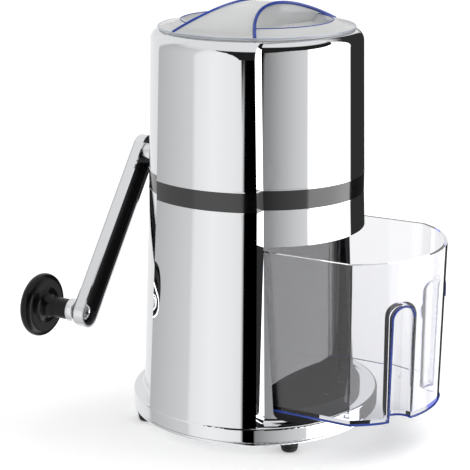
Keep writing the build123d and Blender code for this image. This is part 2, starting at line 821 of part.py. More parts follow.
with BuildPart() as comb_left:
    add(comb(-1))
comb_left.part.label = "comb_left"
export_step(comb_left.part, "parts/comb_left.step")

with BuildPart() as comb_right:
    add(comb(1))
comb_right.part.label = "comb_right"
export_step(comb_right.part, "parts/comb_right.step")

with BuildPart() as comb_screws:
    for side in (-1, 1):
        face = side * chamber_half_width
        head = face + side * small_screw_head_height
        for y in (-comb_screw_spread, comb_screw_spread):
            add(along_x(small_screw_head_radius, face, head, y, z_axle))
            add(along_x(small_screw_radius, side * comb_reach, face, y, z_axle))
comb_screws.part.label = "comb_screws"
export_step(comb_screws.part, "parts/comb_screws.step")

# ---- crank ----------------------------------------------------------------------------------------

with BuildPart() as shaft_collar:
    add(along_y(collar_radius, rear_face + axial_gap, y_arm, bore=shaft_radius + fixed_gap))
shaft_collar.part.label = "shaft_collar"
export_step(shaft_collar.part, "parts/shaft_collar.step")

with BuildPart() as crank_arm:
    add(arm_form(arm_width, 0, arm_thickness))
    fillet(crank_arm.faces().sort_by(Axis.Y)[-1].edges(), arm_edge_round)
    add(arm_form(pocket_width, 0, arm_thickness - arm_floor, 0), mode=Mode.SUBTRACT)
    add(along_y(arm_hub_boss, y_arm, y_arm_floor))
    add(along_y(arm_pin_boss, y_channel, y_arm_floor, pivot_x, pivot_z))
    add(keyed(y_arm, y_shaft_end, fixed_gap), mode=Mode.SUBTRACT)
    add(along_y(screw_radius + fixed_gap, y_arm, y_arm_outer), mode=Mode.SUBTRACT)
    add(along_y(pin_radius + fixed_gap, y_arm, y_arm_outer, pivot_x, pivot_z), mode=Mode.SUBTRACT)
crank_arm.part.label = "crank_arm"
export_step(crank_arm.part, "parts/crank_arm.step")

with BuildPart() as arm_insert:
    insert_width = pocket_width - 2 * fixed_gap
    channel_width = insert_width - 2 * insert_wall
    add(arm_form(insert_width, insert_set_back, arm_thickness - arm_floor, 0))
    add(arm_form(channel_width, insert_set_back, arm_channel_depth, 0), mode=Mode.SUBTRACT)
    line_start = arm_hub_boss + arm_line_offset
    line_length = arm_length - arm_pin_boss - arm_line_offset - line_start
    with BuildSketch(arm_frame.offset(arm_channel_depth - arm_line_height)):
        with Locations((line_start + line_length / 2, arm_line_offset)):
            Rectangle(line_length, arm_line_width)
    extrude(amount=arm_line_height)
    add(along_y(arm_hub_boss + fixed_gap, y_arm, y_arm_floor), mode=Mode.SUBTRACT)
    add(along_y(arm_pin_boss + fixed_gap, y_arm, y_arm_floor, pivot_x, pivot_z), mode=Mode.SUBTRACT)
arm_insert.part.label = "arm_insert"
export_step(arm_insert.part, "parts/arm_insert.step")

with BuildPart() as crank_screw:
    add(along_y(screw_head_radius, y_arm_outer, y_arm_outer + screw_head_height))
    fillet(crank_screw.faces().sort_by(Axis.Y)[-1].edges(), screw_head_round)
    add(along_y(screw_radius, y_arm_outer - screw_length, y_arm_outer))
crank_screw.part.label = "crank_screw"
export_step(crank_screw.part, "parts/crank_screw.step")

with BuildPart() as knob_pin:
    y_rivet = y_channel - rivet_height
    add(along_y(rivet_radius, y_rivet, y_channel, pivot_x, pivot_z))
    dish = along_y(rivet_dish_radius, y_rivet, y_rivet + rivet_dish_depth, pivot_x, pivot_z)
    add(dish, mode=Mode.SUBTRACT)
    add(along_y(pin_radius, y_channel, y_pin_head, pivot_x, pivot_z))
    add(along_y(pin_head_radius, y_pin_head, y_pin_head + pin_head_height, pivot_x, pivot_z))
knob_pin.part.label = "knob_pin"
export_step(knob_pin.part, "parts/knob_pin.step")

with BuildPart() as knob_washer:
    washer_bore = pin_radius + fixed_gap
    washer_end = y_arm_outer + washer_thickness
    add(along_y(washer_radius, y_arm_outer, washer_end, pivot_x, pivot_z, washer_bore))
knob_washer.part.label = "knob_washer"
export_step(knob_washer.part, "parts/knob_washer.step")

with BuildPart() as knob_collar:
    add(along_y(knob_collar_radius, y_knob, y_stem, pivot_x, pivot_z, pin_radius + running_gap))
knob_collar.part.label = "knob_collar"
export_step(knob_collar.part, "parts/knob_collar.step")

with BuildPart() as knob:
    knob_bore = pin_radius + running_gap
    head_room = pin_head_radius + passing_gap
    head_seat = y_pin_head - axial_gap
    cap_seat = knob_cap_radius + fixed_gap
    add(
        spun(
            [
                (knob_bore, y_stem),
                (knob_stem_radius, y_stem),
                (knob_stem_radius, y_disc),
                (knob_radius, y_disc),
                (knob_radius, y_knob_end),
                (cap_seat, y_knob_end),
                (cap_seat, y_cap),
                (head_room, y_cap),
                (head_room, head_seat),
                (knob_bore, head_seat),
            ],
            [
                ((knob_stem_radius, y_disc), knob_flare),
                ((knob_radius, y_disc), knob_rim_round),
                ((knob_radius, y_knob_end), knob_rim_round),
            ],
        )
    )
knob.part.label = "knob"
export_step(knob.part, "parts/knob.step")

with BuildPart() as knob_cap:
    add(along_y(knob_cap_radius, y_cap, y_knob_end, pivot_x, pivot_z))
knob_cap.part.label = "knob_cap"
export_step(knob_cap.part, "parts/knob_cap.step")
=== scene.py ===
from math import cos, pi, radians, sin

import bmesh
import bpy
from mathutils import Matrix, Vector


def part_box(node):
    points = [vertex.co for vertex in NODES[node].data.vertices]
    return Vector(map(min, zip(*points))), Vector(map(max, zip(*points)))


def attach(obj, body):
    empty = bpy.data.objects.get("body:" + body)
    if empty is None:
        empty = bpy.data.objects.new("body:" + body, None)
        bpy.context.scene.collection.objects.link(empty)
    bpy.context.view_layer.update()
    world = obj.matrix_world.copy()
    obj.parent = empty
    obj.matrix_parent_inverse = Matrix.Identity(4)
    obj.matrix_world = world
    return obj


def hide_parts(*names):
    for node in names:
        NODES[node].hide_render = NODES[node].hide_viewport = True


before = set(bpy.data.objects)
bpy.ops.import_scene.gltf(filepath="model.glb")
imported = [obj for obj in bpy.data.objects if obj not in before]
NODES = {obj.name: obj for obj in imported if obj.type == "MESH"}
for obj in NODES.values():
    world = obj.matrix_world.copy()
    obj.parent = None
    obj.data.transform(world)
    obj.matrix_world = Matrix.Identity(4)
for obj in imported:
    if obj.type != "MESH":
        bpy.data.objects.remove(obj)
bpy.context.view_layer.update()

bl_info = {
    "name": "Hand-Cranked Ice Crusher",
    "version": (1, 0, 0),
    "blender": (4, 5, 0),
    "location": "View3D > Sidebar > Ice Crusher",
    "description": "Dresses the ice crusher's frame: plated shells, clear lid and drawer, knob, studio",
    "category": "Object",
}


# ---- shared helpers ---------------------------------------------------------------------------

WELD = 1e-5  # CAD corners closer than this are one, in metres
FLAT = 0.6  # CAD faces that meet at less than this are one face, in degrees
SHARP = 38.0  # CAD edges over this angle are corners, in degrees
CREASE = 32.0  # edges of new pieces over this angle stay sharp, in degrees


def linear(hex_colour, alpha=1.0):
    """An sRGB hex colour as the linear values that shaders take."""
    text = hex_colour.lstrip("#")
    channels = [int(text[i : i + 2], 16) / 255 for i in (0, 2, 4)]
    return tuple(c / 12.92 if c <= 0.04045 else ((c + 0.055) / 1.055) ** 2.4 for c in channels) + (alpha,)


def add_node(tree, kind, settings=None, links=None, **sockets):
    """Adds a node, sets its properties and socket values, and links its inputs."""
    made = tree.nodes.new(kind)
    for key, value in (settings or {}).items():
        setattr(made, key, value)
    for key, value in sockets.items():
        made.inputs[key.replace("_", " ")].default_value = value
    for key, source in (links or {}).items():
        tree.links.new(source, made.inputs[key])
    return made


def new_material(name):
    """An empty node material and its Principled node."""
    material = bpy.data.materials.new(name)
    material.use_nodes = True
    return material, material.node_tree, material.node_tree.nodes["Principled BSDF"]


def paint(obj, *materials):
    """Gives an object these materials and nothing else."""
    obj.data.materials.clear()
    for material in materials:
        obj.data.materials.append(material)


def finished(bm, name):
    """Closes a bmesh into a smooth-shaded object whose edges over the crease angle stay sharp."""
    bmesh.ops.remove_doubles(bm, verts=bm.verts, dist=1e-6)
    bmesh.ops.recalc_face_normals(bm, faces=bm.faces)
    for face in bm.faces:
        face.smooth = True
    for edge in bm.edges:
        if len(edge.link_faces) == 2:
            edge.smooth = edge.calc_face_angle() < radians(CREASE)
    mesh = bpy.data.meshes.new(name)
    bm.to_mesh(mesh)
    bm.free()
    obj = bpy.data.objects.new(name, mesh)
    bpy.context.scene.collection.objects.link(obj)
    return obj


def turned(name, profile, foot, axis=(0.0, 0.0, 1.0), steps=128, copies=(Vector(),)):
    """Turned piece: (radius, height, round) corners spun about an axis through foot, then rounded."""
    bm = bmesh.new()
    corners = [bm.verts.new((radius, 0.0, height)) for radius, height, _ in profile]
    lines = [bm.edges.new(pair) for pair in zip(corners, corners[1:])]
    bmesh.ops.spin(
        bm, geom=corners + lines, cent=(0, 0, 0), axis=(0, 0, 1), angle=2 * pi, steps=steps, use_merge=True
    )
    bmesh.ops.remove_doubles(bm, verts=bm.verts, dist=1e-7)
    for radius, height, rounding in profile:
        if rounding:
            level = {v for v in bm.verts if abs(v.co.z - height) < 1e-6}
            at_corner = {v for v in level if abs(v.co.xy.length - radius) < 1e-6}
            ring = [edge for edge in bm.edges if at_corner.issuperset(edge.verts)]
            bmesh.ops.bevel(
                bm, geom=ring, offset=rounding, segments=6, profile=0.5, affect="EDGES", material=-1
            )
    tilt = Vector((0, 0, 1)).rotation_difference(Vector(axis)).to_matrix().to_4x4()
    bmesh.ops.transform(bm, matrix=Matrix.Translation(foot) @ tilt, verts=bm.verts)
    first = list(bm.verts) + list(bm.edges) + list(bm.faces)
    for shift in copies[1:]:
        twin = bmesh.ops.duplicate(bm, geom=first)
        corners = [g for g in twin["geom"] if isinstance(g, bmesh.types.BMVert)]
        bmesh.ops.translate(bm, vec=shift - copies[0], verts=corners)
    return finished(bm, name)


def merged(node):
    """A welded copy of a CAD node, its flat faces made whole."""
    bm = bmesh.new()
    bm.from_mesh(NODES[node].data)
    bmesh.ops.remove_doubles(bm, verts=bm.verts, dist=WELD)
    bmesh.ops.dissolve_limit(bm, angle_limit=radians(FLAT), verts=bm.verts, edges=bm.edges)
    bmesh.ops.recalc_face_normals(bm, faces=bm.faces)
    return bm


def edge_cords(node, name, radius, chosen):
    """A CAD node's chosen outward edges as slim round cords that carry a painted glow: the blue of a clear
    moulding's edges, put on as colour.
    """
    bm = merged(node)
    corners = [e for e in bm.edges if e.is_convex and e.calc_face_angle(0.0) >= radians(SHARP)]
    kept = {e for e in corners if chosen((e.verts[0].co + e.verts[1].co) / 2)}
    plain = [e for e in bm.edges if e not in kept]
    bmesh.ops.delete(bm, geom=plain, context="EDGES")
    if not bm.edges:
        raise RuntimeError(f"{node} has no such edges")
    cords = finished(bm, name)
    for other in bpy.context.selected_objects:
        other.select_set(False)
    bpy.context.view_layer.objects.active = cords
    cords.select_set(True)
    bpy.ops.object.convert(target="CURVE")
    cords.select_set(False)
    cords.data.bevel_depth = radius
    cords.data.bevel_resolution = 2
    cords.data.use_fill_caps = True
    return cords


# ---- finishes ---------------------------------------------------------------------------------


def chromed_abs(colour):
    """Chromed ABS: bright plating over a polished moulding; a clean mirror with faint waviness."""
    material, tree, surface = new_material("chromed_abs")
    coordinates = add_node(tree, "ShaderNodeTexCoord")
    # sink marks and flow lines of the moulding under the plating, about 25 mm across
    waviness = add_node(
        tree, "ShaderNodeTexNoise", links={"Vector": coordinates.outputs["Object"]}, Scale=40.0, Detail=1.0
    )
    bump = add_node(
        tree, "ShaderNodeBump", links={"Height": waviness.outputs["Fac"]}, Strength=0.02, Distance=0.0004
    )
    # wiping haze, in patches about 5 mm across
    haze = add_node(
        tree, "ShaderNodeTexNoise", links={"Vector": coordinates.outputs["Object"]}, Scale=200.0, Detail=4.0
    )
    spread = add_node(
        tree, "ShaderNodeMapRange", links={"Value": haze.outputs["Fac"]}, To_Min=0.018, To_Max=0.045
    )
    surface.inputs["Base Color"].default_value = colour
    surface.inputs["Metallic"].default_value = 1.0
    tree.links.new(spread.outputs["Result"], surface.inputs["Roughness"])
    tree.links.new(bump.outputs["Normal"], surface.inputs["Normal"])
    return material


def moulded(name, colour, roughness, grain_mm, relief, index=1.5, coat=0.0):
    """Moulded plastic or rubber: one body colour, its gloss broken by the mould's spark texture."""
    material, tree, surface = new_material(name)
    coordinates = add_node(tree, "ShaderNodeTexCoord")
    grain = add_node(
        tree,
        "ShaderNodeTexNoise",
        links={"Vector": coordinates.outputs["Object"]},
        Scale=1000.0 / grain_mm,
        Detail=2.0,
    )
    bump = add_node(
        tree, "ShaderNodeBump", links={"Height": grain.outputs["Fac"]}, Strength=relief, Distance=0.0002
    )
    sheen = add_node(
        tree,
        "ShaderNodeMapRange",
        links={"Value": grain.outputs["Fac"]},
        To_Min=roughness * 0.8,
        To_Max=roughness * 1.25,
    )
    surface.inputs["Base Color"].default_value = colour
    surface.inputs["IOR"].default_value = index
    surface.inputs["Coat Weight"].default_value = coat
    tree.links.new(sheen.outputs["Result"], surface.inputs["Roughness"])
    tree.links.new(bump.outputs["Normal"], surface.inputs["Normal"])
    return material


def clear_styrene(tint, density):
    """Clear styrene: polished faces, and a faint blue that gathers where light runs along a wall."""
    material, tree, surface = new_material("clear_styrene")
    coordinates = add_node(tree, "ShaderNodeTexCoord")
    # handling haze, in patches about 8 mm across
    haze = add_node(
        tree, "ShaderNodeTexNoise", links={"Vector": coordinates.outputs["Object"]}, Scale=125.0, Detail=3.0
    )
    spread = add_node(
        tree, "ShaderNodeMapRange", links={"Value": haze.outputs["Fac"]}, To_Min=0.0, To_Max=0.02
    )
    surface.inputs["Base Color"].default_value = (1.0, 1.0, 1.0, 1.0)
    surface.inputs["Transmission Weight"].default_value = 1.0
    surface.inputs["IOR"].default_value = 1.49
    surface.inputs["Specular IOR Level"].default_value = 0.25
    tree.links.new(spread.outputs["Result"], surface.inputs["Roughness"])
    volume = add_node(tree, "ShaderNodeVolumeAbsorption", Color=tint, Density=density)
    tree.links.new(volume.outputs["Volume"], tree.nodes["Material Output"].inputs["Volume"])
    return material


def frosted_styrene(colour):
    """Clear styrene over a pale hopper: milky, it lets light through and blurs what lies under it."""
    material, tree, surface = new_material("frosted_styrene")
    coordinates = add_node(tree, "ShaderNodeTexCoord")
    # condensation, in patches about 10 mm across
    mist = add_node(
        tree, "ShaderNodeTexNoise", links={"Vector": coordinates.outputs["Object"]}, Scale=100.0, Detail=3.0
    )
    spread = add_node(
        tree, "ShaderNodeMapRange", links={"Value": mist.outputs["Fac"]}, To_Min=0.06, To_Max=0.16
    )
    surface.inputs["Base Color"].default_value = colour
    surface.inputs["Transmission Weight"].default_value = 0.5
    surface.inputs["IOR"].default_value = 1.49
    tree.links.new(spread.outputs["Result"], surface.inputs["Roughness"])
    return material


def painted_edge_glow(name, colour):
    """Painted glow on the edges of clear styrene: an opaque blue that stands in for the light piped along
    the wall and leaving at its edges.
    """
    material, tree, surface = new_material(name)
    coordinates = add_node(tree, "ShaderNodeTexCoord")
    # the painted glow comes and goes along the edge, over about 20 mm
    glow = add_node(
        tree, "ShaderNodeTexNoise", links={"Vector": coordinates.outputs["Object"]}, Scale=50.0, Detail=1.0
    )
    tone = add_node(tree, "ShaderNodeMix", {"data_type": "RGBA"}, {0: glow.outputs["Fac"]})
    tone.inputs[6].default_value = tuple(c * 0.35 for c in colour[:3]) + (1.0,)
    tone.inputs[7].default_value = tuple(min(1.0, c * 1.65) for c in colour[:3]) + (1.0,)
    tree.links.new(tone.outputs[2], surface.inputs["Base Color"])
    surface.inputs["Roughness"].default_value = 0.2
    return material


def ground_steel(colour):
    """Stainless steel: ground along one direction, so its highlights smear across the lines."""
    material, tree, surface = new_material("ground_stainless")
    coordinates = add_node(tree, "ShaderNodeTexCoord")
    mapping = add_node(tree, "ShaderNodeMapping", links={"Vector": coordinates.outputs["Object"]})
    mapping.inputs["Scale"].default_value = (1.0, 1.0, 14.0)
    # grinding lines, about 0.3 mm apart, drawn a little coarse so that they show
    lines = add_node(
        tree, "ShaderNodeTexNoise", links={"Vector": mapping.outputs["Vector"]}, Scale=260.0, Detail=3.0
    )
    spread = add_node(
        tree, "ShaderNodeMapRange", links={"Value": lines.outputs["Fac"]}, To_Min=0.2, To_Max=0.4
    )
    bump = add_node(
        tree, "ShaderNodeBump", links={"Height": lines.outputs["Fac"]}, Strength=0.15, Distance=0.0001
    )
    surface.inputs["Base Color"].default_value = colour
    surface.inputs["Metallic"].default_value = 1.0
    tree.links.new(spread.outputs["Result"], surface.inputs["Roughness"])
    tree.links.new(bump.outputs["Normal"], surface.inputs["Normal"])
    return material


def finish(name):
    """The named finish, made the first time that a piece asks for it."""
    settings = bpy.context.scene.ice_crusher
    makers = {
        "chromed_abs": lambda: chromed_abs(settings.chrome),
        "gloss_black_abs": lambda: moulded("gloss_black_abs", settings.black, 0.11, 1.5, 0.02, 1.6, 0.8),
        "arm_black_abs": lambda: moulded("arm_black_abs", settings.insert, 0.35, 1.0, 0.06),
        "knob_black_phenolic": lambda: moulded("knob_black_phenolic", settings.black, 0.25, 1.5, 0.03, 1.36),
        # near-black painted shade for the inside of the drawer's bay
        "black_lining": lambda: moulded("black_lining", settings.bay_painted_shade_colour, 0.65, 0.8, 0.1, 1.3),
        "pale_abs": lambda: moulded("pale_abs", settings.pale, 0.35, 0.8, 0.05),
        "foot_rubber": lambda: moulded("foot_rubber", settings.rubber, 0.7, 0.5, 0.3),
        "acetal": lambda: moulded("acetal", settings.acetal, 0.4, 0.8, 0.1),
        "clear_styrene": lambda: clear_styrene(settings.tint, settings.tint_density),
        "frosted_styrene": lambda: frosted_styrene(settings.frost),
        # painted glow for the edges of the clear drawer and lid
        "painted_edge_glow": lambda: painted_edge_glow("painted_edge_glow", settings.edge_glow_paint),
        "painted_rim_glow": lambda: painted_edge_glow("painted_rim_glow", settings.rim_glow_paint),
        "ground_stainless": lambda: ground_steel(settings.steel),
    }
    return bpy.data.materials.get(name) or makers[name]()


# ---- settings ---------------------------------------------------------------------------------


def colour_property(name, description, hex_colour):
    """A colour that the user can change, with its default as sRGB hex."""
    return bpy.props.FloatVectorProperty(
        name=name,
        description=description,
        subtype="COLOR",
        size=4,
        min=0.0,
        max=1.0,
        default=linear(hex_colour),
    )


def length_property(name, description, millimetres):
    """A length that the user can change, with its default in millimetres."""
    return bpy.props.FloatProperty(
        name=name,
        description=description,
        default=millimetres / 1000,
        min=0.0,
        unit="LENGTH",
        subtype="DISTANCE",
    )


class IceCrusherSettings(bpy.types.PropertyGroup):
    """Sizes and colours of the dressed ice crusher."""

    chrome: colour_property("Chrome", "Plating of the shells, the base and the arm", "#F1F2F4")
    black: colour_property("Black", "Band and knob", "#060607")
    insert: colour_property("Insert", "Channel along the crank arm", "#1E1E20")
    # near-black painted shade for the inside of the drawer's bay
    bay_painted_shade_colour: colour_property("Lining", "Inside of the drawer's bay", "#050506")
    pale: colour_property("Pale", "Hopper under the lid", "#E4E5E7")
    rubber: colour_property("Rubber", "Feet", "#0C0C0C")
    acetal: colour_property("Acetal", "Bushes and blade spacers", "#E6E6E0")
    steel: colour_property("Steel", "Shaft, blades, combs and screws", "#C9CACC")
    tint: colour_property("Tint", "Blue in the clear plastic", "#5068E0")
    frost: colour_property("Frost", "Clear lid, misted over", "#F3F4F4")
    # painted glow: opaque blue that stands in for light piped out through the clear plastic's edges, strong
    # and faint
    edge_glow_paint: colour_property("Edge tint", "Blue that shows in the clear plastic's edges", "#2B449E")
    rim_glow_paint: colour_property("Rim tint", "Faint blue of the lid's rim", "#B4BCD6")
    floor: colour_property("Floor", "Paper under the object", "#FAFAFA")
    tint_density: bpy.props.FloatProperty(
        name="Tint density",
        description="How fast the clear plastic takes up light, per metre",
        default=16.0,
        min=0.0,
    )
    # radii of the cords that carry the painted blue glow
    lid_glow: length_property("Lid glow", "Radius of the blue in the handle's edges", 1.0)
    rim_glow: length_property("Rim glow", "Radius of the blue in the lid's rim and scoops", 0.35)
    drawer_glow: length_property("Drawer glow", "Radius of the blue in the drawer's edges", 0.7)
    collar_ease: length_property("Collar ease", "Rounding of the chromed collars", 0.6)
    foot_ease: length_property("Foot ease", "Rounding of the feet's lower edge", 1.4)
    bead_height: length_property("Bead height", "Height of the rolled edges beside the band", 0.7)
    bead_rise: length_property("Bead rise", "How far the rolled edges stand out", 0.2)
    lamp_power: bpy.props.FloatProperty(
        name="Lamp power", description="Power of the soft lamp", default=18.0, min=0.0, unit="POWER"
    )


# ---- pieces -----------------------------------------------------------------------------------

PIN_BORE = 0.00255  # radius round the knob's pin, in metres
DISC_THICKNESS = 0.0087  # the knob's disc


class ICECRUSHER_OT_shells(bpy.types.Operator):
    """Plates the two shells and the base, and rolls the shells' edges beside the band"""

    bl_idname = "icecrusher.shells"
    bl_label = "Shells"

    def execute(self, context):
        settings = context.scene.ice_crusher
        chrome = finish("chromed_abs")
        for node in ("lower_shell", "upper_shell", "base_plate"):
            paint(NODES[node], chrome)
        top_of_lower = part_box("lower_shell")[1][2]
        foot_of_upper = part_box("upper_shell")[0][2]
        for node, level, side in (("lower_shell", top_of_lower, -1.0), ("upper_shell", foot_of_upper, 1.0)):
            bm = merged(node)
            for height, normal in ((0.0, -side), (side * settings.bead_height, side)):
                bmesh.ops.bisect_plane(
                    bm,
                    geom=list(bm.verts) + list(bm.edges) + list(bm.faces),
                    plane_co=(0, 0, level + height + side * WELD),
                    plane_no=(0, 0, normal),
                    clear_outer=True,
                )
            hidden = [
                face
                for face in bm.faces
                if face.normal.xy.dot(face.calc_center_median().xy) <= 0 or abs(face.normal.z) > 0.9
            ]
            bmesh.ops.delete(bm, geom=hidden, context="FACES")
            bmesh.ops.solidify(bm, geom=list(bm.faces), thickness=-settings.bead_rise)
            bead = finished(bm, f"{node}_rolled_edge")
            paint(bead, chrome)
            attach(bead, "housing")
        return {"FINISHED"}


class ICECRUSHER_OT_band(bpy.types.Operator):
    """Gives the band between the shells its polished black"""

    bl_idname = "icecrusher.band"
    bl_label = "Band"

    def execute(self, context):
        paint(NODES["chassis_band"], finish("gloss_black_abs"))
        return {"FINISHED"}


class ICECRUSHER_OT_feet(bpy.types.Operator):
    """Turns the four rubber feet, with a rounded lower edge and a fine rib"""

    bl_idname = "icecrusher.feet"
    bl_label = "Feet"

    def execute(self, context):
        settings = context.scene.ice_crusher
        low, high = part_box("rubber_feet")
        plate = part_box("base_plate")[0][2]
        top_radius, rib_radius, neck_radius, sole_radius, stem_radius = 0.0057, 0.0051, 0.0049, 0.0044, 0.003
        reach = high[0] - top_radius
        profile = [
            (0.0, 0.0, 0.0),
            (sole_radius, 0.0, settings.foot_ease),
            (rib_radius, 0.0033, 0.0),
            (neck_radius, 0.0036, 0.0),
            (rib_radius, 0.0039, 0.0),
            (top_radius, plate, 0.0),
            (stem_radius, plate, 0.0),
            (stem_radius, high[2], 0.0),
            (0.0, high[2], 0.0),
        ]
        places = [Vector((sx * reach, sy * reach, 0.0)) for sx in (1, -1) for sy in (1, -1)]
        feet = turned("feet_turned", profile, places[0], steps=48, copies=places)
        paint(feet, finish("foot_rubber"))
        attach(feet, "housing")
        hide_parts("rubber_feet")
        return {"FINISHED"}


class ICECRUSHER_OT_drawer(bpy.types.Operator):
    """Makes the drawer clear and lays cords of painted blue glow along its grooves and its foot"""

    bl_idname = "icecrusher.drawer"
    bl_label = "Drawer"

    def execute(self, context):
        settings = context.scene.ice_crusher
        low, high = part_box("drawer")
        pips, groove_depth = 0.0022, 0.0165
        groove_inner, groove_middle, groove_outer = 0.014, 0.028, 0.04  # from the drawer's middle
        foot = low[2] + pips
        front = low[1] + groove_depth
        arch = high[2] - 0.0345  # where each groove's domed top starts
        groove_top = high[2] - 0.022

        def glowing(point):
            """On the foot's edge, or on a groove's outer side and over its top."""
            inner = groove_inner if point.z > arch else groove_middle
            in_groove = inner < abs(point.x) < groove_outer and point.y < front
            return abs(point.z - foot) < 0.0002 or (in_groove and foot < point.z < groove_top)

        paint(NODES["drawer"], finish("clear_styrene"))
        NODES["drawer"].visible_glossy = False
        # cords of painted blue glow along the chosen edges
        cords = edge_cords("drawer", "drawer_edge_glow", settings.drawer_glow, glowing)
        paint(cords, finish("painted_edge_glow"))
        cords.visible_glossy = False
        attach(cords, "drawer")
        return {"FINISHED"}


class ICECRUSHER_OT_lid(bpy.types.Operator):
    """Mists the lid and lays cords of painted blue glow along its handle, its scoops and its rim"""

    bl_idname = "icecrusher.lid"
    bl_label = "Lid"

    def execute(self, context):
        settings = context.scene.ice_crusher
        low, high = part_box("lid")
        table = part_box("upper_shell")[1][2] + 0.0004
        rim = high[0]
        rise = 0.0138  # of the handle's top over the rim
        scoop_radius = 0.0455
        edge_width = 0.0005
        ball = (rim**2 + rise**2) / (2 * rise)
        centre = Vector((0.0, 0.0, high[2] - ball))

        def on_handle(point):
            return abs((point - centre).length - ball) < 1e-4 and point.xy.length < rim - edge_width

        def on_scoop(point):
            return point.z > table and point.xy.length < scoop_radius and not on_handle(point)

        def on_rim(point):
            return point.z > table and point.xy.length > rim - edge_width

        paint(NODES["lid"], finish("frosted_styrene"))
        # cords of painted blue glow along the handle, the scoops and the rim
        for name, radius, chosen, dress in (
            ("lid_handle_glow", settings.lid_glow, on_handle, "painted_edge_glow"),
            ("lid_scoop_glow", settings.rim_glow, on_scoop, "painted_edge_glow"),
            ("lid_rim_glow", settings.rim_glow, on_rim, "painted_rim_glow"),
        ):
            cords = edge_cords("lid", name, radius, chosen)
            paint(cords, finish(dress))
            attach(cords, "lid")
        return {"FINISHED"}


class ICECRUSHER_OT_crank(bpy.types.Operator):
    """Plates the crank arm and turns its collar and its domed screw"""

    bl_idname = "icecrusher.crank"
    bl_label = "Crank"

    def execute(self, context):
        settings = context.scene.ice_crusher
        chrome = finish("chromed_abs")
        paint(NODES["crank_arm"], chrome)
        paint(NODES["arm_insert"], finish("arm_black_abs"))
        for node in ("crank_shaft", "retaining_clip", "knob_pin", "knob_washer"):
            paint(NODES[node], finish("ground_stainless"))

        low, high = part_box("knob_pin")
        head = (high[0] - low[0]) / 2
        # a rolled ring on the pin's head, its hole two thirds of the head's width
        profile = [
            (head * 0.66, 0.0, 0.0),
            (head * 0.97, 0.0, 0.0),
            (head * 0.97, -0.0005, 0.0),
            (head * 0.88, -0.0008, 0.0),
            (head * 0.76, -0.0008, 0.0),
            (head * 0.66, -0.0005, 0.0),
            (head * 0.66, 0.0, 0.0),
        ]
        foot = Vector(((low[0] + high[0]) / 2, low[1], (low[2] + high[2]) / 2))
        eyelet = turned("pin_eyelet_turned", profile, foot, (0, 1, 0), 64)
        paint(eyelet, chrome)
        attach(eyelet, "crank")

        low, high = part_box("shaft_collar")
        radius = (high[0] - low[0]) / 2
        length = high[1] - low[1]
        axle = (low[2] + high[2]) / 2
        wall = 0.00328
        bore = radius - wall
        profile = [
            (bore, 0.0, 0.0),
            (radius, 0.0, settings.collar_ease),
            (radius, length, settings.collar_ease),
            (bore, length, 0.0),
            (bore, 0.0, 0.0),
        ]
        collar = turned("shaft_collar_turned", profile, Vector((0, low[1], axle)), (0, 1, 0))
        paint(collar, chrome)
        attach(collar, "crank")
        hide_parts("shaft_collar")

        low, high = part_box("crank_screw")
        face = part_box("crank_arm")[1][1]
        head = (high[0] - low[0]) / 2
        rise = high[1] - face
        shank_radius, tip_radius, tip = 0.002, 0.0016, low[1] - face
        profile = [
            (0.0, tip, 0.0),
            (tip_radius, tip, 0.0),
            (shank_radius, tip + 0.0008, 0.0),
            (shank_radius, 0.0, 0.0),
            (head, 0.0, 0.0),
            (head, rise * 0.45, 0.0),
            (head * 0.86, rise * 0.8, 0.0),
            (head * 0.6, rise * 0.96, 0.0),
            (head * 0.5, rise, 0.0),
            (head * 0.5, rise * 0.35, 0.0),
            (0.0, rise * 0.35, 0.0),
        ]
        screw = turned("crank_screw_turned", profile, Vector((0, face, axle)), (0, 1, 0), 96)
        paint(screw, finish("ground_stainless"))
        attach(screw, "crank")
        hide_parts("crank_screw")
        return {"FINISHED"}


